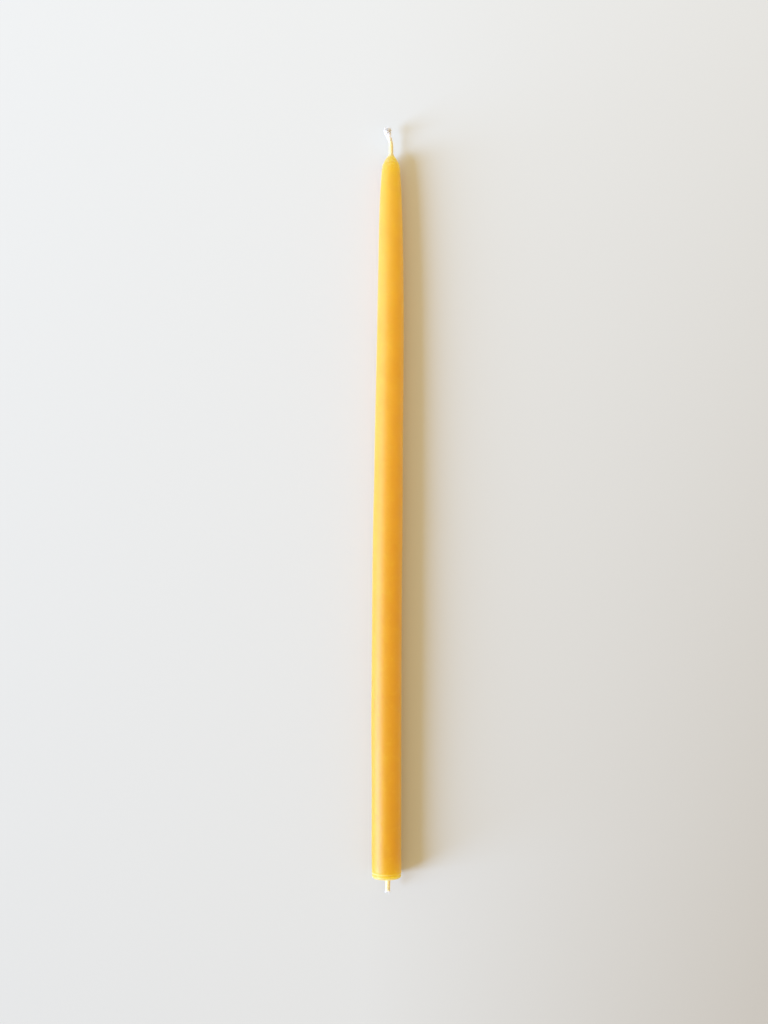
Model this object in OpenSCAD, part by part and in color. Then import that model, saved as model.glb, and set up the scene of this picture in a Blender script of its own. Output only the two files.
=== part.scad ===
// A hand-dipped beeswax taper candle with a plaited cotton wick, lying on its side.
// It lies along Y on the plane z = 0, with its foot at -Y and its tip at +Y.
// Heights are measured up the candle, from the flat of its foot.

/* [Wax body] */
// Height at which the rounded nose would close if no wick came out of it
wax_h = 306.2; // [240:0.1:400]
// How much thicker than its seat the candle is at the belly, on each side
belly_swell = 0.1; // [0:0.05:1]
// Height of the belly
belly_h = 75; // [50:1:110]
// What the long taper takes off the diameter between the belly and the nose
long_taper = 2.7; // [1:0.1:4]
// What the dips draw off besides, nearly all of it close below the nose
nose_draw = 2.2; // [0.5:0.1:3]
// How late that draw comes: a high number keeps it closer to the nose
nose_lateness = 13.5; // [6:0.5:20]
// Height of the rounded nose
nose_h = 7.7; // [4:0.1:14]
// Fullness of the nose: 2 is slim and 3 is blunt
nose_fullness = 2.6; // [1.8:0.1:3.5]

/* [Bow] */
// How far the candle bows sideways by its tip
bow = 2; // [0:0.05:4]
// Height at which the bow starts
bow_start = 60; // [40:1:120]
// Height at which the bow is complete
bow_end = 290; // [200:1:300]

/* [Foot] */
// Diameter of the straight seat that goes into a holder
seat_d = 12.5; // [10:0.1:18]
// Length of the straight seat
seat_l = 24; // [12:1:30]
// Height of the drawn-in stretch below the seat
drawn_h = 4; // [3.5:0.5:12]
// How much the foot draws in on each side below the seat
drawn_in = 0.13; // [0:0.01:1]
// Radius of the rounded edge of the foot
foot_round = 1; // [0.5:0.1:3]

/* [Wick] */
// Diameter of the plaited wick
wick_d = 1.6; // [1:0.1:2.4]
// How far the wick stands past the height of the wax
wick_out = 10.3; // [6:0.1:20]
// How much of that is coated with wax
coated = 5.4; // [2:0.1:6]
// Thickness of the wax coat on the wick at the nose
coat_wall = 0.17; // [0.1:0.01:0.4]
// Thickness of the coat where it ends
coat_lip = 0.1; // [0.08:0.01:0.15]
// How much of the plait's depth shows through the coat
coat_shows = 0.35; // [0:0.05:0.5]
// Length of the wick stub below the foot
stub_l = 6.1; // [3:0.1:12]
// Bare length at the end of the stub
stub_bare = 0.9; // [0.4:0.1:2]
// How far the wax climbs out from the stub as a fillet on the foot
stub_fillet = 0.8; // [0.3:0.1:1.5]
// How far the wick lies to the side of the middle at the foot
foot_offset = 0.72; // [0:0.01:1]
// How far the wick lies to the side of the middle at the nose
nose_offset = 0.05; // [0:0.01:0.8]
// Height above the wax at which the free end starts to lean
lean_from = 3.4; // [1:0.1:6]
// Length over which the free end leans and curls
lean_l = 6.5; // [3:0.1:10]
// How far the free end leans sideways
lean = 1.6; // [0:0.05:3]
// How far the free end curls up
curl = 1.8; // [0:0.1:3]
// How far the stub leans sideways
stub_lean = 0.1; // [0:0.1:1]
// Number of strands that wind round the plait each way
strands = 4; // [2:1:4]
// Length in which each strand goes once round the plait
plait_pitch = 6.4; // [5:0.1:10]
// Depth of the plait, as a part of the wick's radius
plait_depth = 0.12; // [0.02:0.01:0.2]
// Length of the opened end of the wick
splay_l = 2.6; // [1:0.1:4]
// How far the strands open there on each side
splay = 0.7; // [0:0.05:1]

/* [Hidden] */

// How far the swept body starts inside the surface of the seat, and how deep it goes in there
lap = 0.01;
lap_h = 4;

// Sides of the body's outline and of the wick's
body_sides = 40;
wick_sides = 24;

// Heights of the parts of the candle
seat_top = drawn_h + seat_l;
nose_base = wax_h - nose_h;
coat_top = wax_h + coated;
wick_top = wax_h + wick_out;
stub_coat_end = stub_bare - stub_l;

// The foot stands so far along Y that the whole length is centred on the origin
foot_y = (stub_l - wick_top) / 2;

// The height of the axis at the foot: the belly is the thickest place and touches the surface
belly_d = seat_d + 2 * belly_swell;
rest_z = belly_d / 2;

// How sharply the wax turns from the nose into the coat on the wick
neck_blend = 2.4;

// Spacing of the outlines where the plait shows, close enough for each crossing of its strands
plait_step = plait_pitch / 24;

// How far inside the coat's lip the wick is still round
lip_in = 0.1;

function clamp(t) = min(max(t, 0), 1);
function ease(t) = clamp(t) * clamp(t) * (3 - 2 * clamp(t));
function mix(a, b, t) = a + (b - a) * t;

// Heights from one value to another, in equal steps or drawn closer together towards the end
function steps(from, to, count) = [for (i = [1:count]) mix(from, to, i / count)];
function closing(from, to, count, power) = [
    for (i = [1:count])
        mix(from, to, 1 - pow(1 - i / count, power))
];

// The middle line of the wax: a slow sideways bow, and the set it takes along the surface,
// so that its underside stays on the surface as the long taper thins it
function taper_part(s) = max(0, s - belly_h) / (nose_base - belly_h);
function middle_x(s) = bow * ease((s - bow_start) / (bow_end - bow_start));
function middle_z(s) = rest_z - long_taper / 2 * pow(min(taper_part(s), 1), 2);

// The middle line of the wick, which is a little to one side of the wax's own
function wick_lean(s) = ease((s - wax_h - lean_from) / lean_l);
function wick_x(s) = middle_x(s)
    + mix(foot_offset, nose_offset, clamp(s / wax_h))
    - stub_lean * ease(-s / stub_l)
    - lean * wick_lean(s);
function wick_z(s) = middle_z(s) + curl * wick_lean(s);

// The plait's relief: the strands that wind one way and those that wind the other
function turn(s) = 360 * s / plait_pitch;
function weave(s, a) = max(cos(strands * (a + turn(s))), cos(strands * (a - turn(s))));
function plait_relief(s, a) = wick_d / 2 * plait_depth * (weave(s, a) - 0.5);

// The wax's radius: seat, belly, long taper and nose
function lower_r(s) = mix(seat_d / 2 - lap, belly_d / 2, ease((s - seat_top) / (belly_h - seat_top)));
function upper_r(s) = (belly_d
    - long_taper * pow(taper_part(s), 2)
    - nose_draw * pow(taper_part(s), nose_lateness)) / 2;
function body_r(s) = s < belly_h ? lower_r(s) : upper_r(s);
function nose_r(s) = body_r(s) * (1 - pow(clamp((s - nose_base) / nose_h), nose_fullness));
function coat_r(s) = wick_d / 2 + mix(coat_wall, coat_lip, clamp((s - wax_h) / coated));
function coat_relief(s, a) = coat_shows * plait_relief(s, a) * ease((s - nose_base) / nose_h);
function wax_r(s) = s < nose_base
    ? body_r(s)
    : pow(pow(nose_r(s), neck_blend) + pow(coat_r(s), neck_blend), 1 / neck_blend);

// The wax's middle line moves over to the wick's as the nose closes in on it
function wax_shift(s) = ease((s - nose_base) / nose_h);
function wax_middle(s) = [
    mix(middle_x(s), wick_x(s), wax_shift(s)),
    foot_y + s,
    mix(middle_z(s), wick_z(s), wax_shift(s))
];
function wick_middle(s) = [wick_x(s), foot_y + s, wick_z(s)];

// The coat on the stub, with its fillet on the foot
function stub_coat_r(s) = wick_d / 2
    + mix(coat_lip, coat_wall, clamp((s - stub_coat_end) / -stub_coat_end))
    + stub_fillet * pow(clamp(1 + s / (2 * stub_fillet)), 2);
function stub_relief(s, a) = coat_shows * plait_relief(s, a) * ease(-s / (2 * stub_fillet));

// The wick's radius: round in the wax, plaited where it is bare, opened in tufts at its free end
tufts = 5;
tuft_depth = 0.35;
ragged = 0.3;
function bare_part(s) = s > 0
    ? ease(2 * (s - coat_top) / wick_d)
    : ease(2 * (stub_coat_end - s) / wick_d);
function splay_part(s) = ease((s - wick_top + splay_l) / splay_l);
function wick_r(s, a) = wick_d / 2
    + bare_part(s) * plait_relief(s, a)
    + splay * splay_part(s) * (1 + tuft_depth * cos(tufts * a));

// A point of an outline round a middle point, at angle a from +X towards +Z
function rim(middle, r, a) = middle + r * [cos(a), 0, sin(a)];

// A solid through outlines that all lie square to Y, closed by a fan at each end
module sweep(heights, sides, middle, edge) {
    count = len(heights);
    outline = [
        for (s = heights)
            for (i = [0:sides - 1])
                edge(s, (i + 0.5) * 360 / sides)
    ];
    ends = [middle(heights[0]), middle(heights[count - 1])];
    walls = [
        for (k = [0:count - 2])
            for (i = [0:sides - 1])
                let (j = (i + 1) % sides)
                    [k * sides + i, k * sides + j, (k + 1) * sides + j, (k + 1) * sides + i]
    ];
    low_fan = [for (i = [0:sides - 1]) [count * sides, (i + 1) % sides, i]];
    last = (count - 1) * sides;
    high_fan = [for (i = [0:sides - 1]) [count * sides + 1, last + i, last + (i + 1) % sides]];
    polyhedron(concat(outline, ends), concat(walls, low_fan, high_fan));
}

// The foot is turned, so that the seat is a true cylinder
module foot() {
    edge_r = seat_d / 2 - drawn_in;
    rounding = [
        for (a = [-90:10:0])
            [edge_r - foot_round + foot_round * cos(a), foot_round + foot_round * sin(a)]
    ];
    drawing_in = [
        for (t = [0.2:0.2:1])
            [edge_r + drawn_in * sin(90 * t), mix(foot_round, drawn_h, t)]
    ];
    outline = concat([[0, 0]], rounding, drawing_in, [[seat_d / 2, seat_top], [0, seat_top]]);
    translate([0, foot_y, rest_z])
        rotate([-90, 0, 0])
            rotate_extrude($fn = 96)
                polygon(outline);
}

// The dipped body, its nose and the coat that climbs the wick
module dipped_body() {
    heights = concat(
        [seat_top - lap_h],
        closing(seat_top - lap_h, nose_base, 34, 1.6),
        steps(nose_base, wax_h, 14),
        steps(wax_h, coat_top, round(coated / plait_step))
    );
    sweep(heights, body_sides,
        function (s) wax_middle(s),
        function (s, a) rim(wax_middle(s), wax_r(s) + coat_relief(s, a), a));
}

// The coat on the stub starts a little way up inside the foot
module stub_coat() {
    heights = concat(
        [stub_coat_end],
        steps(stub_coat_end, 0, round(-stub_coat_end / plait_step)),
        [foot_round / 2]
    );
    sweep(heights, wick_sides,
        function (s) wick_middle(s),
        function (s, a) rim(wick_middle(s), stub_coat_r(s) + stub_relief(s, a), a));
}

// The plaited wick, from the end of the stub to its free end
module plaited_wick() {
    heights = concat(
        [-stub_l],
        steps(-stub_l, stub_coat_end + lip_in, round(stub_bare / plait_step)),
        steps(stub_coat_end + lip_in, stub_fillet, 5),
        steps(stub_fillet, nose_base, 22),
        steps(nose_base, coat_top - lip_in, 12),
        steps(coat_top - lip_in, wick_top, round((wick_out - coated) / plait_step))
    );
    sweep(heights, wick_sides,
        function (s) wick_middle(s),
        function (s, a) rim(wick_middle(s), wick_r(s, a), a)
            + [0, ragged * splay_part(s) * cos(3 * a), 0]);
}

module wax_body() {
    color([0.93, 0.66, 0.24])
        difference() {
            union() {
                foot();
                dipped_body();
                stub_coat();
            }
            plaited_wick();
        }
}

module wick() {
    color([0.93, 0.91, 0.84])
        plaited_wick();
}

wax_body();
wick();
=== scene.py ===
"""The looks of a hand-dipped beeswax taper candle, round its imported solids."""
import math
import random

import bpy
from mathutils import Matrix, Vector, noise


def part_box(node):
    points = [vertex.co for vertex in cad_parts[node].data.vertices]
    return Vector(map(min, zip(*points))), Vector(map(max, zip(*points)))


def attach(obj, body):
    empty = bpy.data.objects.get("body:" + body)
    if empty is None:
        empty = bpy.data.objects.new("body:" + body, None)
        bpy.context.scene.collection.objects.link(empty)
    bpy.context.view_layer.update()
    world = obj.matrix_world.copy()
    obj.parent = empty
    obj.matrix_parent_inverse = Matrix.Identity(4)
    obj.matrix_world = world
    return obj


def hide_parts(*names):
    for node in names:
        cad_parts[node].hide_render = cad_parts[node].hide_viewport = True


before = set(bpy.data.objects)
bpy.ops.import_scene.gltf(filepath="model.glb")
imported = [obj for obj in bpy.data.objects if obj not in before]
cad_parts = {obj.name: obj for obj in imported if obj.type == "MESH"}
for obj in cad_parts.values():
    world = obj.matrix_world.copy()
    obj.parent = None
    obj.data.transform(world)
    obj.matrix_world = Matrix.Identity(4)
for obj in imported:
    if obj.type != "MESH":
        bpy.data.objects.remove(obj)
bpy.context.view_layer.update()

MM = 0.001

# The candle's own sizes in millimetres, with heights measured up from the flat of its foot
STUB_LENGTH = 6.1
STUB_COAT_END = -5.2
STUB_FILLET = 0.8
STUB_LEAN = 0.1
SEAT_DIAMETER = 12.5
SEAT_START = 4.0
SEAT_TOP = 28.0
FOOT_EDGE = 6.12
FOOT_ROUND = 0.85
FOOT_SHIFT = 0.13
BELLY_DIAMETER = 12.7
BELLY_HEIGHT = 75.0
LONG_TAPER = 2.7
NOSE_DRAW = 2.2
NOSE_LATENESS = 13.5
NOSE_BASE = 298.5
NOSE_TIP = 306.2
NOSE_FULLNESS = 2.6
NECK_BLEND = 2.4
BOW = 2.0
BOW_START = 60.0
BOW_END = 290.0
COAT_TOP = 311.6
COAT_WALL = 0.17
COAT_LIP = 0.1
COAT_SHOWS = 0.35
WICK_TOP = 316.5
WICK_RADIUS = 0.8
FOOT_OFFSET = 0.72
NOSE_OFFSET = 0.05
LEAN_START = 309.6
LEAN_LENGTH = 6.5
LEAN = 1.6
CURL = 1.8
STRANDS = 4
PLAIT_PITCH = 6.4
PLAIT_DEPTH = 0.12

# Where the foot lies along Y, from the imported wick, and how high the candle's axis is there
FOOT_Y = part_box("wick")[0].y / MM + STUB_LENGTH
REST_Z = BELLY_DIAMETER / 2


def clamp(t):
    return min(max(t, 0.0), 1.0)


def ease(t):
    return clamp(t) ** 2 * (3 - 2 * clamp(t))


def mix(a, b, t):
    return a + (b - a) * t


def steps(start, end, count):
    """Heights after start, up to and including end."""
    return [mix(start, end, i / count) for i in range(1, count + 1)]


def taper_part(s):
    return max(0.0, s - BELLY_HEIGHT) / (NOSE_BASE - BELLY_HEIGHT)


def middle(s):
    """The middle line of the wax, as (x, z) at height s."""
    x = BOW * ease((s - BOW_START) / (BOW_END - BOW_START))
    z = REST_Z - LONG_TAPER / 2 * min(taper_part(s), 1.0) ** 2
    return x, z


def wick_middle(s):
    """The middle line of the wick, as (x, z) at height s."""
    x, z = middle(s)
    lean = ease((s - LEAN_START) / LEAN_LENGTH)
    x += mix(FOOT_OFFSET, NOSE_OFFSET, clamp(s / NOSE_TIP))
    x -= STUB_LEAN * ease(-s / STUB_LENGTH) + LEAN * lean
    return x, z + CURL * lean


def place(s, centre):
    """The point in metres at height s on a middle line."""
    return Vector((centre[0], FOOT_Y + s, centre[1])) * MM


def height_of(point):
    """The height in millimetres of a point in metres."""
    return point.y / MM - FOOT_Y


def body_radius(s):
    """The dipped body's radius, from the top of the seat up."""
    if s < BELLY_HEIGHT:
        return mix(SEAT_DIAMETER, BELLY_DIAMETER, ease((s - SEAT_TOP) / (BELLY_HEIGHT - SEAT_TOP))) / 2
    part = taper_part(s)
    return (BELLY_DIAMETER - LONG_TAPER * part ** 2 - NOSE_DRAW * part ** NOSE_LATENESS) / 2


def coat_radius(s):
    """The wax coat on the wick above the nose."""
    return WICK_RADIUS + mix(COAT_WALL, COAT_LIP, clamp((s - NOSE_TIP) / (COAT_TOP - NOSE_TIP)))


def nose_radius(s):
    """The nose, blended into the coat on the wick."""
    part = clamp((s - NOSE_BASE) / (NOSE_TIP - NOSE_BASE))
    nose = body_radius(s) * (1 - part ** NOSE_FULLNESS)
    return (nose ** NECK_BLEND + coat_radius(s) ** NECK_BLEND) ** (1 / NECK_BLEND)


def stub_radius(s):
    """The coat on the stub, with its fillet on the foot."""
    wall = mix(COAT_LIP, COAT_WALL, clamp((s - STUB_COAT_END) / -STUB_COAT_END))
    return WICK_RADIUS + wall + STUB_FILLET * clamp(1 + s / (2 * STUB_FILLET)) ** 2


def weave(s, angle):
    """How far the plait stands out at an angle, from the strands that wind one way and the other."""
    turn = 2 * math.pi * s / PLAIT_PITCH
    return max(math.cos(STRANDS * (angle + turn)), math.cos(STRANDS * (angle - turn))) - 0.5


def linear(code):
    """A colour written as sRGB hex, as the linear colour that a shader takes."""
    parts = [int(code[i:i + 2], 16) / 255 for i in (1, 3, 5)]
    return (*[c / 12.92 if c <= 0.04045 else ((c + 0.055) / 1.055) ** 2.4 for c in parts], 1.0)


def node(tree, kind, inputs=None, **settings):
    """Adds a shader node with its settings, and gives each input a value or a link."""
    made = tree.nodes.new("ShaderNode" + kind)
    for name, value in settings.items():
        setattr(made, name, value)
    for name, value in (inputs or {}).items():
        if isinstance(value, bpy.types.NodeSocket):
            tree.links.new(value, made.inputs[name])
        else:
            made.inputs[name].default_value = value
    return made


def empty_material(name):
    """A material whose node tree is empty, and that tree."""
    material = bpy.data.materials.new(name)
    material.use_nodes = True
    material.node_tree.nodes.clear()
    return material, material.node_tree


def deselect():
    bpy.ops.object.select_all(action="DESELECT")


def make_active(piece):
    deselect()
    piece.select_set(True)
    bpy.context.view_layer.objects.active = piece


def apply_modifiers(piece):
    make_active(piece)
    for modifier in list(piece.modifiers):
        bpy.ops.object.modifier_apply(modifier=modifier.name)


def join_onto(piece, others):
    """Makes other pieces part of a piece, which keeps its name."""
    make_active(piece)
    for other in others:
        other.select_set(True)
    bpy.ops.object.join()


def scale_by(piece, factor):
    """Scales a piece's mesh about the origin."""
    piece.scale = (factor, factor, factor)
    bpy.ops.object.transform_apply(location=False, rotation=False, scale=True)


def lathed(name, outlines, sides):
    """A closed skin through round outlines that lie square to Y, each (height, middle point, radius).

    The first outline is a filled circle, and each of the next is extruded from the one before it."""
    deselect()
    height, centre, radius = outlines[0]
    at = place(height, centre)
    bpy.ops.mesh.primitive_circle_add(vertices=sides, radius=radius * MM, fill_type="NGON",
                                      location=at, rotation=(math.pi / 2, 0, 0))
    piece = bpy.context.object
    piece.name = name
    bpy.ops.object.transform_apply(location=True, rotation=True, scale=True)
    bpy.ops.object.mode_set(mode="EDIT")
    bpy.ops.mesh.select_all(action="SELECT")
    for height, centre, wide in outlines[1:]:
        to = place(height, centre)
        bpy.ops.mesh.extrude_region_move(TRANSFORM_OT_translate={"value": to - at})
        bpy.ops.transform.resize(value=(wide / radius,) * 3, center_override=to)
        at = to
        radius = wide
    bpy.ops.mesh.select_all(action="SELECT")
    bpy.ops.mesh.normals_make_consistent(inside=False)
    bpy.ops.object.mode_set(mode="OBJECT")
    return piece


# Wax body

# Subdivision draws a round cage in by this much
CAGE_SIDES = 24
CAGE_SHRINK = (2 + math.cos(2 * math.pi / CAGE_SIDES)) / 3

# Where a coat ends on the wick it turns in round the cotton, as (depth inside its lip, radius)
LIP_TURN = [(0.0, WICK_RADIUS + COAT_LIP * 0.5), (0.12, 0.72), (0.5, 0.55), (0.5, 0.3)]

# The flat of the foot, in rings from the stub out, as (part of the way to the foot's own middle, radius)
FOOT_FLAT = [(0.2, 2.3), (0.5, 3.0), (0.85, 3.8), (1.0, 4.6)]

# Above the rounded edge of the foot: a shallow groove, and the lip where a late dip ended
FOOT_RIM = [
    (1.3, 6.1), (1.5, 6.04), (1.7, 6.04), (1.9, 6.12), (2.1, 6.22), (2.25, 6.27), (2.45, 6.26),
    (2.7, 6.19), (2.95, 6.15), (3.4, 6.17), (SEAT_START, 6.23), (5.5, 6.26), (7.0, 6.26), (9.0, 6.25),
]

# Over this stretch the wax goes from the foot's own middle to the candle's
FOOT_SHIFT_START = 5
FOOT_SHIFT_LENGTH = 7

# From this height to the nose the outlines stand closer, for the late draw
DRAW_START = 282.0

# Small drips that set on the wax: (height, degrees from the top towards +X, how far it stands out, width)
DRIPS = [
    (23.5, -22, 0.16, 0.8), (61.0, 48, 0.1, 1.1), (118.0, -64, 0.12, 0.9), (147.0, 105, 0.14, 1.2),
    (171.0, 12, 0.07, 0.9), (204.0, -140, 0.13, 1.2), (236.0, 71, 0.1, 0.9), (262.0, -31, 0.07, 0.8),
]
# A drip is a bell shape: this many of its spreads make its width, and this many reach to its edge
DRIP_SPREADS = 2.6
DRIP_REACH = 3

# The nose is dimpled from this height, fully this much higher, and smooth again over this stretch of neck
DIMPLES_START = 296.5
DIMPLES_RISE = 3.5
DIMPLES_END = 304.4
DIMPLES_FADE = 1.2

# Below this height the skin is the stub's coat, where the plait shows, or the flat of the foot
STUB_SKIN = 0.5

# The plait shows through the coat from this far above the base of the nose, and fully this much higher
RELIEF_START = 4.0
RELIEF_RISE = 3.7

# Pale wax: how thick the wall over the wick is where the paleness starts to fade, and over how much more
PALE_WALL = 0.2
NOSE_FADE = 1.4
STUB_FADE = 0.9
# Pale spots where the nose dripped: how pale, how big, and where up the nose they come in
SPOT_PALENESS = 0.24
SPOT_SIZE = 0.75
SPOTS_START = 299
SPOTS_RISE = 3
# Painted highlights on the foot, below this height and outside the stub's fillet: how pale, and how pale the
# painted highlight on the lip still is on its far right, away from the light
FOOT_HIGHLIGHT_TOP = 3
FOOT_HIGHLIGHT_WALL = 0.9
FOOT_HIGHLIGHT_PALENESS = 0.34
RIGHT_PALENESS = 0.06
# The painted highlight on the bottom edge: how high it goes, and how far outside the wick it starts
EDGE_TOP = 1.9
EDGE_WALL = 2.6
# The painted highlight on the lip: its height, and how far above and below that it goes
LIP_HEIGHT = 2.2
LIP_REACH = 0.7


def wax_outlines():
    """From inside the end of the stub, over the foot and up to inside the lip of the coat on the wick."""
    found = []

    def add(s, centre, radius):
        found.append((s, centre, radius / CAGE_SHRINK))

    for depth, radius in reversed(LIP_TURN):
        add(STUB_COAT_END + depth, wick_middle(STUB_COAT_END), radius)
    for s in steps(STUB_COAT_END, 0.0, 16):
        add(s, wick_middle(s), stub_radius(s))
    foot = (middle(0.0)[0] + FOOT_SHIFT, middle(0.0)[1])
    for part, radius in FOOT_FLAT:
        add(0.0, [mix(a, b, part) for a, b in zip(wick_middle(0.0), foot)], radius)
    for degrees in (0, 14, 28, 42, 56, 70, 90):
        a = math.radians(degrees)
        add(FOOT_ROUND * (1 - math.cos(a)), foot, FOOT_EDGE - FOOT_ROUND * (1 - math.sin(a)))
    for s, radius in FOOT_RIM + [(s, SEAT_DIAMETER / 2) for s in steps(FOOT_RIM[-1][0], SEAT_TOP, 10)]:
        shift = ease((s - FOOT_SHIFT_START) / FOOT_SHIFT_LENGTH)
        add(s, [mix(a, b, shift) for a, b in zip(foot, middle(0.0))], radius)
    for s in steps(SEAT_TOP, DRAW_START, 100) + steps(DRAW_START, NOSE_BASE, 12):
        add(s, middle(s), body_radius(s))
    for s in steps(NOSE_BASE, NOSE_TIP, 20) + steps(NOSE_TIP, COAT_TOP - 0.08, 16):
        shift = ease((s - NOSE_BASE) / (NOSE_TIP - NOSE_BASE))
        add(s, [mix(a, b, shift) for a, b in zip(middle(s), wick_middle(s))], nose_radius(s))
    for depth, radius in LIP_TURN:
        add(COAT_TOP - depth, wick_middle(COAT_TOP), radius)
    return found


def uneven(piece, name, size, strength, group=""):
    """Moves the skin in and out by soft clouds of a size in millimetres along X, Y and Z."""
    clouds = bpy.data.textures.new(name, "CLOUDS")
    clouds.noise_scale = 1.0
    clouds.noise_depth = 1
    bpy.ops.object.empty_add(location=(0.011, 0.007, 0.003))
    stretch = bpy.context.object
    stretch.scale = Vector(size) * MM
    bpy.context.view_layer.update()
    change = piece.modifiers.new(name, "DISPLACE")
    change.texture = clouds
    change.texture_coords = "OBJECT"
    change.texture_coords_object = stretch
    change.strength = strength * MM
    change.mid_level = 0.5
    change.vertex_group = group
    apply_modifiers(piece)
    bpy.data.objects.remove(stretch)
    bpy.data.textures.remove(clouds)


def drips_on_wax():
    """Each drip as (its place in metres, how far it stands out in millimetres, its spread in metres)."""
    found = []
    for s, degrees, tall, wide in DRIPS:
        x, z = middle(s)
        turned = math.radians(degrees)
        radius = body_radius(s) if s > SEAT_TOP else SEAT_DIAMETER / 2
        top = place(s, (x + radius * math.sin(turned), z + radius * math.cos(turned)))
        found.append((top, tall, wide * MM / DRIP_SPREADS))
    return found


def paleness(point, s, to_right, wall):
    """From 0 for the body's own colour to 1 for a thin coat on the cotton, and paler too where highlights are
    painted on the foot.

    The wall is how far the point is outside the wick, and to_right how far it is from the wick towards +X."""
    pale = 0.0
    if s < STUB_SKIN or s > NOSE_BASE:
        blot = ease(0.3 + 1.6 * noise.noise(point / (SPOT_SIZE * MM)))
        spot = SPOT_PALENESS * blot * ease((s - SPOTS_START) / SPOTS_RISE)
        pale = max(1 - ease((wall - PALE_WALL) / (NOSE_FADE if s > 0 else STUB_FADE)), spot)
    # Painted highlights: the foot's rounded bottom edge and its lip are made paler, most of all on the left
    if s < FOOT_HIGHLIGHT_TOP and wall > FOOT_HIGHLIGHT_WALL:
        edge_highlight = FOOT_HIGHLIGHT_PALENESS * (1 - ease(s / EDGE_TOP)) * ease((wall - EDGE_WALL) / EDGE_WALL)
        lip = mix(FOOT_HIGHLIGHT_PALENESS, RIGHT_PALENESS, ease(0.5 + to_right / 7))
        pale = max(pale, edge_highlight, lip * ease(1 - abs(s - LIP_HEIGHT) / LIP_REACH))
    return pale


def finish_skin(wax):
    """Lets the plait show through the coats, raises the drips, and marks where the wax is pale, with painted
    highlights on the foot.
    """
    mesh = wax.data
    pale = mesh.attributes.new("pale", "FLOAT", "POINT")
    normals = [vertex.normal.copy() for vertex in mesh.vertices]
    drips = drips_on_wax()
    for vertex, normal in zip(mesh.vertices, normals):
        s = height_of(vertex.co)
        x, z = wick_middle(s)
        across = (vertex.co.x / MM - x, vertex.co.z / MM - z)
        if s < STUB_SKIN or s > NOSE_BASE:
            up_nose = (s - NOSE_BASE - RELIEF_START) / RELIEF_RISE
            shows = ease(-s / (2 * STUB_FILLET)) if s < STUB_SKIN else ease(up_nose)
            relief = COAT_SHOWS * WICK_RADIUS * PLAIT_DEPTH * weave(s, math.atan2(across[1], across[0]))
            vertex.co += normal * relief * shows * MM
        wall = math.hypot(*across) - WICK_RADIUS
        pale.data[vertex.index].value = paleness(vertex.co, s, across[0], wall)
        for top, tall, spread in drips:
            far = (vertex.co - top).length / spread
            if far < DRIP_REACH:
                vertex.co += normal * tall * math.exp(-far ** 2 / 2) * MM
        # The surface that the candle lies on presses it flat
        vertex.co.z = max(vertex.co.z, 0.0)


def make_wax():
    wax = lathed("dipped_wax", wax_outlines(), CAGE_SIDES)
    smooth = wax.modifiers.new("smooth", "SUBSURF")
    smooth.levels = 2
    smooth.render_levels = 2
    apply_modifiers(wax)
    nose = wax.vertex_groups.new(name="nose")
    for vertex in wax.data.vertices:
        s = height_of(vertex.co)
        weight = ease((s - DIMPLES_START) / DIMPLES_RISE) * (1 - ease((s - DIMPLES_END) / DIMPLES_FADE))
        if weight > 0:
            nose.add([vertex.index], weight, "REPLACE")
    # Soft waves from the dips, fine lines along the draw, and a dimpled nose
    uneven(wax, "dips", (14, 48, 14), 0.3)
    uneven(wax, "draws", (2.6, 60, 2.6), 0.06)
    uneven(wax, "dimples", (1.1, 0.9, 1.1), 0.3, "nose")
    finish_skin(wax)
    make_active(wax)
    bpy.ops.object.shade_smooth()
    return wax


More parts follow.
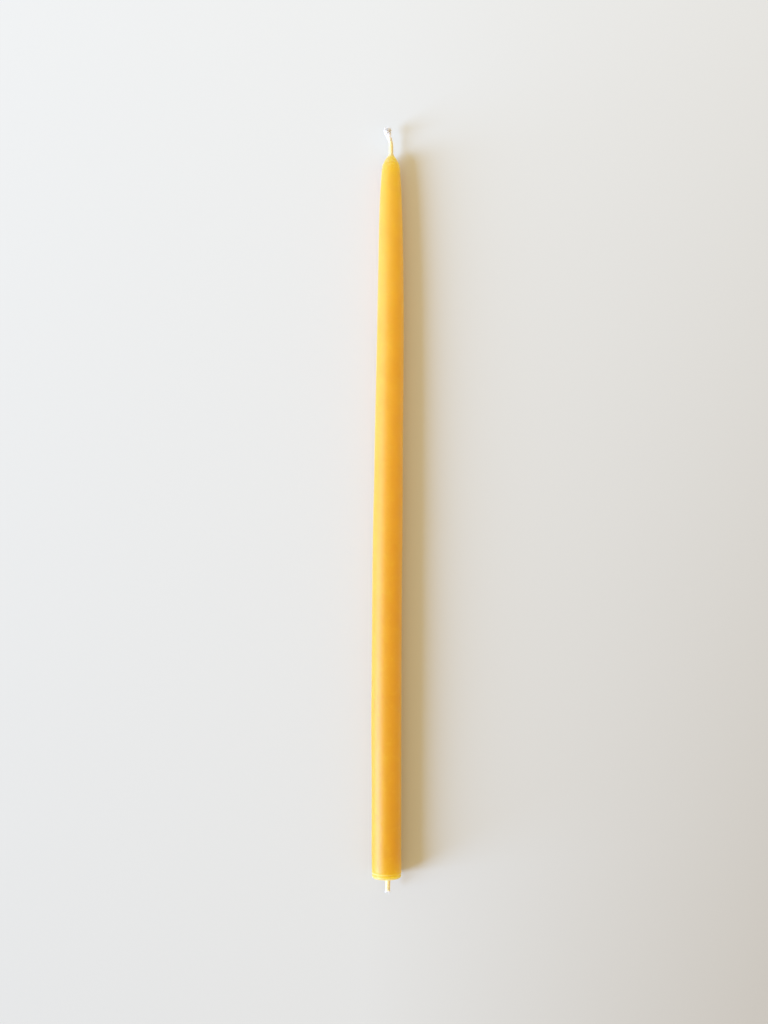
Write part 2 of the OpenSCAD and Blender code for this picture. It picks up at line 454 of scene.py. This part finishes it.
def beeswax():
    """Filtered yellow beeswax, dipped in many coats: a satin honey skin that light soaks through, with a
    faint cloudy bloom, a pale cream where it is only a thin coat on the cotton, and painted highlights on the
    foot."""
    material, tree = empty_material("dipped_beeswax")
    place_in_wax = node(tree, "TexCoord").outputs["Object"]
    along = node(tree, "SeparateXYZ", {0: place_in_wax}).outputs["Y"]
    # Darker towards the foot and lighter towards the tip: partly the deeper colour of the thicker wax at the
    # foot, partly painted shade where the light falls off towards the foot
    up = node(tree, "MapRange", {"Value": along, "From Min": -0.15, "From Max": 0.15}).outputs[0]
    body = node(tree, "Mix", {0: up, 6: linear("#CE9504"), 7: linear("#E8A043")},
                data_type="RGBA").outputs[2]
    # Clouds in the wax, 12 mm across
    clouds = node(tree, "TexNoise", {"Vector": place_in_wax, "Scale": 1 / (12 * MM),
                                     "Detail": 3.0}).outputs["Fac"]
    clouded = node(tree, "MapRange", {"Value": clouds, "From Min": 0.35, "From Max": 0.65,
                                      "To Max": 0.16}).outputs[0]
    body = node(tree, "Mix", {0: clouded, 6: body, 7: linear("#C4840C")}, data_type="RGBA").outputs[2]
    # A thin pale bloom in spots 3 mm across
    spots = node(tree, "TexNoise", {"Vector": place_in_wax, "Scale": 1 / (3 * MM), "Detail": 5.0,
                                    "Roughness": 0.6}).outputs["Fac"]
    bloom = node(tree, "MapRange", {"Value": spots, "From Min": 0.52, "From Max": 0.75,
                                    "To Max": 0.14}).outputs[0]
    body = node(tree, "Mix", {0: bloom, 6: body, 7: linear("#EBC044")}, data_type="RGBA").outputs[2]
    pale = node(tree, "Attribute", attribute_name="pale").outputs["Fac"]
    colour = node(tree, "Mix", {0: pale, 6: body, 7: linear("#F8E9AE")}, data_type="RGBA").outputs[2]
    # Light goes 46 mm in the solid wax, but little more than 1 mm before it meets cotton under the coat, and
    # less far where highlights are painted on the foot
    soaks = node(tree, "MapRange", {"Value": pale, "To Min": 1.0, "To Max": 0.35}).outputs[0]
    deep = node(tree, "MapRange", {"Value": pale, "To Min": 46 * MM, "To Max": 1.2 * MM}).outputs[0]
    rough = node(tree, "MapRange", {"Value": spots, "From Min": 0.3, "From Max": 0.7, "To Min": 0.46,
                                    "To Max": 0.54}).outputs[0]
    # A fine grain of 0.25 mm and shallow marks of 0.8 mm that the dips leave
    grain = node(tree, "TexNoise", {"Vector": place_in_wax, "Scale": 1 / (0.25 * MM),
                                    "Detail": 2.0}).outputs["Fac"]
    marks = node(tree, "TexNoise", {"Vector": place_in_wax, "Scale": 1 / (0.8 * MM),
                                    "Detail": 2.0}).outputs["Fac"]
    fine = node(tree, "Bump", {"Height": grain, "Distance": 0.012 * MM, "Strength": 0.7}).outputs[0]
    bump = node(tree, "Bump", {"Height": marks, "Distance": 0.05 * MM, "Strength": 0.7,
                               "Normal": fine}).outputs[0]
    wax = node(tree, "BsdfPrincipled", {
        "Base Color": colour,
        "Roughness": rough,
        "IOR": 1.48,
        "Coat Weight": 0.12,
        "Coat Roughness": 0.6,
        "Sheen Weight": 0.22,
        "Sheen Roughness": 0.5,
        "Normal": bump,
        "Subsurface Weight": soaks,
        "Subsurface Radius": (1.0, 0.97, 0.4),
        "Subsurface Scale": deep,
        "Subsurface Anisotropy": 0.62,
    })
    node(tree, "OutputMaterial", {"Surface": wax.outputs[0]})
    return material


# Wick

# Thickness of a yarn and of a loose hair, and how far apart a strand's three yarns lie
YARN = 0.3
HAIR = 0.035
YARN_GAP = 0.26

# The plait's middle radius, and how far its strands go in and out of that as they cross
PLAIT_RADIUS = 0.6
PLAIT_WAVE = 0.13

# The core that fills the wick inside the wax, and the cores of its two bare ends, as (height, radius)
CORE_START = -4.4
CORE_END = 310.6
CORE_SIDES = 12
CORE_LOW_END = [(-4.6, 0.5), (CORE_START, WICK_RADIUS)]
CORE_HIGH_END = [(310.8, 0.5)]
HEARTS = [
    [(310.7, 0.6), (311.2, 0.68), (312.2, 0.66), (313.2, 0.66), (314.2, 0.6), (315.0, 0.4)],
    [(-STUB_LENGTH + 0.2, 0.4), (-5.1, 0.5), (-4.7, 0.7), (-4.5, 0.6)],
]

# Where the bare yarns start inside the coats, and how far apart the points along them are
STUB_YARN_START = -4.3
TIP_YARN_START = 310.7
YARN_STEP = 0.08

# How yarns end on the stub, and the outer and the inner ones at the tip: (opening, fanning, loose hairs)
STUB_END = (0.2, 0.6, 4)
OUTER_END = (1.15, 0.3, 8)
INNER_END = (0.5, 0.3, 6)

# Over this many last points a thread grows or thins, and points this close are merged
END_POINTS = 16
MERGED = 0.001

# The grid on which yarns run together, and the fewest points of a part that isn't a speck
SKIN_GRID = 0.065
FEWEST_POINTS = 100

# Hairs that stand off the plait at the tip: how many, and between which heights
PLAIT_HAIRS = 70
HAIRS_START = 311.7
HAIRS_END = 315.6

# How far wax crept into the cotton above the coat's lip, and on the stub the height where it ends and
# how far above that the cotton is full of it
CREPT_UP = 1.4
STUB_CREPT_END = -6.0
STUB_CREPT = 0.6


def wick_frame(s):
    """The wick's middle point at height s, and two directions square to its line."""
    here = place(s, wick_middle(s))
    ahead = (place(s + 0.1, wick_middle(s + 0.1)) - place(s - 0.1, wick_middle(s - 0.1))).normalized()
    side = (Vector((1, 0, 0)) - ahead * ahead.x).normalized()
    return here, side, side.cross(ahead)


def yarn_point(s, way, strand, ply, opening, turning, fan):
    """A point on one of a strand's three yarns; the strands wind both ways, over and under each other.

    At the wick's two ends a yarn opens outwards, turns, and fans out to one side."""
    turn = 2 * math.pi * s / PLAIT_PITCH
    radius = PLAIT_RADIUS + PLAIT_WAVE * way * math.cos(STRANDS * turn)
    slope = math.atan(2 * math.pi * radius / PLAIT_PITCH)
    angle = way * turn + 2 * math.pi * strand / STRANDS + ply * YARN_GAP * math.cos(slope) / radius
    s -= way * ply * YARN_GAP * math.sin(slope)
    opened = clamp((s - COAT_TOP - 0.2) / (WICK_TOP - COAT_TOP)) if s > 0 else ease(1 - s - STUB_LENGTH)
    radius += opening * opened
    angle += turning * opened
    here, side, up = wick_frame(s)
    return here + ((side * math.cos(angle) + up * math.sin(angle)) * radius - side * fan * opened) * MM


def yarn_heights(start, step, end):
    """Heights from start in even steps up or down, as far as they stay short of end, and then end."""
    return [start + step * i for i in range(math.ceil((end - start) / step))] + [end]


def spun(name, lines, thickness, rounding, swell):
    """Threads along lists of points as one mesh, each growing by a part of its thickness towards its end."""
    curve = bpy.data.curves.new(name, "CURVE")
    curve.dimensions = "3D"
    curve.bevel_depth = thickness / 2 * MM
    curve.bevel_resolution = rounding
    curve.use_fill_caps = True
    for line in lines:
        thread = curve.splines.new("POLY")
        thread.points.add(len(line) - 1)
        for i, (point, at) in enumerate(zip(thread.points, line)):
            point.co = (*at, 1.0)
            point.radius = 1.0 + swell * ease((i - len(line) + 1 + END_POINTS) / END_POINTS)
    made = bpy.data.objects.new(name, curve)
    bpy.context.scene.collection.objects.link(made)
    make_active(made)
    bpy.ops.object.convert(target="MESH")
    # The caps are loose from their threads until their points are merged
    bpy.ops.object.mode_set(mode="EDIT")
    bpy.ops.mesh.select_all(action="SELECT")
    bpy.ops.mesh.remove_doubles(threshold=MERGED * MM)
    bpy.ops.mesh.normals_make_consistent(inside=False)
    bpy.ops.object.mode_set(mode="OBJECT")
    return bpy.context.object


def run_together(piece, grid):
    """Makes threads that press into each other one closed skin, so that light soaks through them as one.

    Remesh takes no grid below 0.1 mm, so it works on the piece at a hundred times its size. Specks that it
    leaves where threads nearly meet are taken out."""
    make_active(piece)
    scale_by(piece, 100)
    remesh = piece.modifiers.new("skin", "REMESH")
    remesh.mode = "VOXEL"
    remesh.voxel_size = grid * MM * 100
    apply_modifiers(piece)
    scale_by(piece, 0.01)
    bpy.ops.mesh.separate(type="LOOSE")
    sizes = {part.name: len(part.data.vertices) for part in bpy.context.selected_objects}
    whole = [bpy.data.objects[name] for name in sorted(sizes) if sizes[name] >= FEWEST_POINTS]
    for name in sizes:
        if sizes[name] < FEWEST_POINTS:
            bpy.data.objects.remove(bpy.data.objects[name])
    join_onto(whole[0], whole[1:])
    return whole[0]


def scatter(rng, spread):
    """A random offset, as wide along X, Y and Z."""
    return Vector([rng.gauss(0, spread) for _ in range(3)])


def fibre(start, ahead, length, rng):
    """A loose cotton hair that starts along a direction and wanders from it."""
    drift = scatter(rng, 1).normalized()
    return [start + (ahead * t + drift * t * t * 0.8) * length * MM for t in (0.0, 0.2, 0.4, 0.6, 0.8, 1.0)]


def plaited_ends(rng):
    """The lines of all yarns on the wick's two bare ends, and of the hairs that stand out of their cuts."""
    yarns = []
    hairs = []
    for way in (-1, 1):
        for strand in range(STRANDS):
            for ply in (-1, 0, 1):
                low = yarn_heights(STUB_YARN_START, -YARN_STEP, -STUB_LENGTH + rng.uniform(0.0, 0.3))
                high = yarn_heights(TIP_YARN_START, YARN_STEP, WICK_TOP - rng.uniform(0.1, 1.1))
                for heights, end in ((low, STUB_END), (high, OUTER_END), (high, INNER_END)):
                    opening = end[0] * rng.uniform(0.6, 1)
                    fan = end[1] * rng.uniform(-0.5, 1)
                    turning = rng.uniform(-0.6, 0.6)
                    line = [yarn_point(s, way, strand, ply, opening, turning, fan) for s in heights]
                    yarns.append(line)
                    for _ in range(end[2]):
                        start = line[-1] + scatter(rng, 0.07) * MM
                        ahead = (line[-1] - line[-5]).normalized() + scatter(rng, 0.4)
                        hairs.append(fibre(start, ahead.normalized(), rng.uniform(0.2, 0.6), rng))
    return yarns, hairs


def hairs_on_plait(rng):
    """Hairs that stand off the plait at the tip."""
    hairs = []
    for _ in range(PLAIT_HAIRS):
        s = rng.uniform(HAIRS_START, HAIRS_END)
        here, side, up = wick_frame(s)
        around = rng.uniform(0, 2 * math.pi)
        out = side * math.cos(around) + up * math.sin(around)
        ahead = (wick_frame(s + 0.2)[0] - here).normalized()
        start = here + out * WICK_RADIUS * MM
        away = (out * 0.7 + ahead * rng.uniform(0, 1)).normalized()
        hairs.append(fibre(start, away, rng.uniform(0.15, 0.4), rng))
    return hairs


def wick_core(name, outlines):
    """A round core along the wick's middle line, from outlines that are (height, radius)."""
    return lathed(name, [(s, wick_middle(s), radius) for s, radius in outlines], CORE_SIDES)


def soaked(s):
    """How much wax crept into the cotton at height s, from 0 for none to 1 under a coat's lip."""
    if s > 0:
        return 1 - ease((s - COAT_TOP) / CREPT_UP)
    return ease((s - STUB_CREPT_END) / STUB_CREPT)


def make_wick():
    """A square plait of eight strands of three yarns, round a core, and frayed at its free end."""
    rng = random.Random(11)
    in_wax = steps(CORE_START, NOSE_BASE, 60) + steps(NOSE_BASE, CORE_END, 16)
    core = wick_core("wick", CORE_LOW_END + [(s, WICK_RADIUS) for s in in_wax] + CORE_HIGH_END)
    hearts = [wick_core("heart", heart) for heart in HEARTS]
    yarns, hairs = plaited_ends(rng)
    hairs += hairs_on_plait(rng)
    plait = spun("plait", yarns, YARN, 2, 0.25)
    join_onto(plait, hearts)
    plait = run_together(plait, SKIN_GRID)
    join_onto(core, [plait, spun("fray", hairs, HAIR, 0, -0.5)])
    core.name = "plaited_wick"
    bpy.ops.object.shade_smooth()
    soak = core.data.attributes.new("soak", "FLOAT", "POINT")
    for vertex in core.data.vertices:
        soak.data[vertex.index].value = soaked(height_of(vertex.co))
    return core


def cotton():
    """Bleached cotton yarn, plaited: soft and matt, white where it is bare, yellowed where wax crept in."""
    material, tree = empty_material("plaited_cotton")
    place_in_yarn = node(tree, "TexCoord").outputs["Object"]
    # Slubs and shade between fibres, 0.4 mm across
    slubs = node(tree, "TexNoise", {"Vector": place_in_yarn, "Scale": 1 / (0.4 * MM),
                                    "Detail": 4.0}).outputs["Fac"]
    tone = node(tree, "MapRange", {"Value": slubs, "From Min": 0.35, "From Max": 0.65}).outputs[0]
    bare = node(tree, "Mix", {0: tone, 6: linear("#FEFEFB"), 7: linear("#F6F7F0")},
                data_type="RGBA").outputs[2]
    soak = node(tree, "Attribute", attribute_name="soak").outputs["Fac"]
    # Light soaks 3 mm through the bare yarn, and hardly into yarn that the coat's lip covers
    soaks = node(tree, "MapRange", {"Value": soak, "From Max": 0.7, "To Min": 1.0,
                                    "To Max": 0.15}).outputs[0]
    deep = node(tree, "MapRange", {"Value": soak, "From Max": 0.7, "To Min": 3.0 * MM,
                                   "To Max": 0.2 * MM}).outputs[0]
    # The wax crept unevenly into the slubs
    ragged = node(tree, "MapRange", {"Value": slubs, "To Min": 0.55, "To Max": 1.2}).outputs[0]
    crept = node(tree, "Math", {0: soak, 1: ragged}, operation="MULTIPLY", use_clamp=True).outputs[0]
    colour = node(tree, "Mix", {0: crept, 6: bare, 7: linear("#F9EEC4")}, data_type="RGBA").outputs[2]
    # Fibres of 0.03 mm, drawn at 0.06 mm so that they show
    fibres = node(tree, "TexNoise", {"Vector": place_in_yarn, "Scale": 1 / (0.06 * MM),
                                     "Detail": 2.0}).outputs["Fac"]
    bump = node(tree, "Bump", {"Height": fibres, "Distance": 0.02 * MM, "Strength": 0.8}).outputs[0]
    yarn = node(tree, "BsdfPrincipled", {
        "Base Color": colour,
        "Roughness": 0.9,
        "Normal": bump,
        "Sheen Weight": 0.3,
        "Sheen Roughness": 0.5,
        "Subsurface Weight": soaks,
        "Subsurface Radius": (1.0, 1.0, 1.0),
        "Subsurface Scale": deep,
    })
    node(tree, "OutputMaterial", {"Surface": yarn.outputs[0]})
    return material


# Camera, floor and light

BACKDROP = linear("#EEF0F0")

# The camera's lens in millimetres, its height in metres, and where on the candle it looks down, in
# millimetres along X and up from the foot
LENS = 54.1
CAMERA_HEIGHT = 0.6564
LOOKS_AT = (-0.97, 154.4)


def stage_camera():
    """Straight down, as the photograph was taken."""
    camera = bpy.data.cameras.new("camera")
    camera.lens = LENS
    camera.clip_start = 0.01
    camera.clip_end = 100
    holder = bpy.data.objects.new("camera", camera)
    bpy.context.scene.collection.objects.link(holder)
    holder.location = (LOOKS_AT[0] * MM, (FOOT_Y + LOOKS_AT[1]) * MM, CAMERA_HEIGHT)
    bpy.context.scene.camera = holder


def stage_floor():
    """A pale floor, with shade painted into its colour on the candle's right, that runs out into the
    backdrop, a hair below the wax so their faces don't meet.
    """
    deselect()
    bpy.ops.mesh.primitive_plane_add(size=3.0, location=(0, 0, -0.02 * MM))
    floor = bpy.context.object
    floor.name = "floor"
    material, tree = empty_material("pale_floor")
    where = node(tree, "TexCoord").outputs["Object"]
    # Painted shade in the floor's colour: even on the candle's left, and on its right slowly dimmer, most of
    # all beside the foot
    across = node(tree, "SeparateXYZ", {0: where}).outputs
    fall = node(tree, "Math", {0: across["Y"], 1: 5.7, 2: -2.5}, operation="MULTIPLY_ADD").outputs[0]
    right = node(tree, "Math", {0: across["X"], 1: -0.01}, operation="MAXIMUM").outputs[0]
    slant = node(tree, "Math", {0: right, 1: fall, 2: across["Y"]}, operation="MULTIPLY_ADD").outputs[0]
    lit = node(tree, "MapRange", {"Value": slant, "From Min": -0.8, "From Max": 0.25}).outputs[0]
    tone = node(tree, "Mix", {0: lit, 6: linear("#C4C5BD"), 7: linear("#E6EEED")},
                data_type="RGBA").outputs[2]
    pale = node(tree, "BsdfPrincipled", {"Base Color": tone, "Roughness": 0.9, "Specular IOR Level": 0.2})
    # The camera sees the floor turn into the backdrop between 0.28 and 0.7 m from the candle
    far = node(tree, "Emission", {"Color": BACKDROP})
    away = node(tree, "VectorMath", {0: where}, operation="LENGTH").outputs["Value"]
    fade = node(tree, "MapRange", {"Value": away, "From Min": 0.28, "From Max": 0.7},
                interpolation_type="SMOOTHSTEP").outputs[0]
    by_camera = node(tree, "LightPath").outputs["Is Camera Ray"]
    seen = node(tree, "Math", {0: fade, 1: by_camera}, operation="MULTIPLY").outputs[0]
    both = node(tree, "MixShader", {0: seen, 1: pale.outputs[0], 2: far.outputs[0]})
    node(tree, "OutputMaterial", {"Surface": both.outputs[0]})
    floor.data.materials.append(material)


def stage_light():
    """One tall window to the left and a little towards the foot, and an even, slightly warm room."""
    turn = math.radians(20)
    away = Vector((-math.cos(turn), -math.sin(turn), 0))
    distance = 4.0
    width = 1.7
    height = 4.0
    brightness = 21.8
    lamp = bpy.data.lights.new("window", "AREA")
    lamp.shape = "RECTANGLE"
    lamp.size = width
    lamp.size_y = height
    lamp.color = linear("#B1CFFF")[:3]
    lamp.energy = brightness * math.pi * width * height
    window = bpy.data.objects.new("window", lamp)
    bpy.context.scene.collection.objects.link(window)
    window.location = away * distance + Vector((0, 0, height / 2))
    window.rotation_euler = away.to_track_quat("Z", "Y").to_euler()
    window.visible_camera = False
    world = bpy.data.worlds.new("room")
    bpy.context.scene.world = world
    world.use_nodes = True
    tree = world.node_tree
    tree.nodes.clear()
    room = node(tree, "Background", {"Color": linear("#E6CA9C")})
    backdrop = node(tree, "Background", {"Color": BACKDROP})
    seen = node(tree, "LightPath").outputs["Is Camera Ray"]
    both = node(tree, "MixShader", {0: seen, 1: room.outputs[0], 2: backdrop.outputs[0]})
    node(tree, "OutputWorld", {"Surface": both.outputs[0]})
    bpy.context.scene.view_settings.view_transform = "Standard"


stage_camera()
stage_floor()
stage_light()

wax = make_wax()
wax.data.materials.append(beeswax())
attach(wax, "root")
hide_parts("wax_body")

wick = make_wick()
wick.data.materials.append(cotton())
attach(wick, "root")
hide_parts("wick")
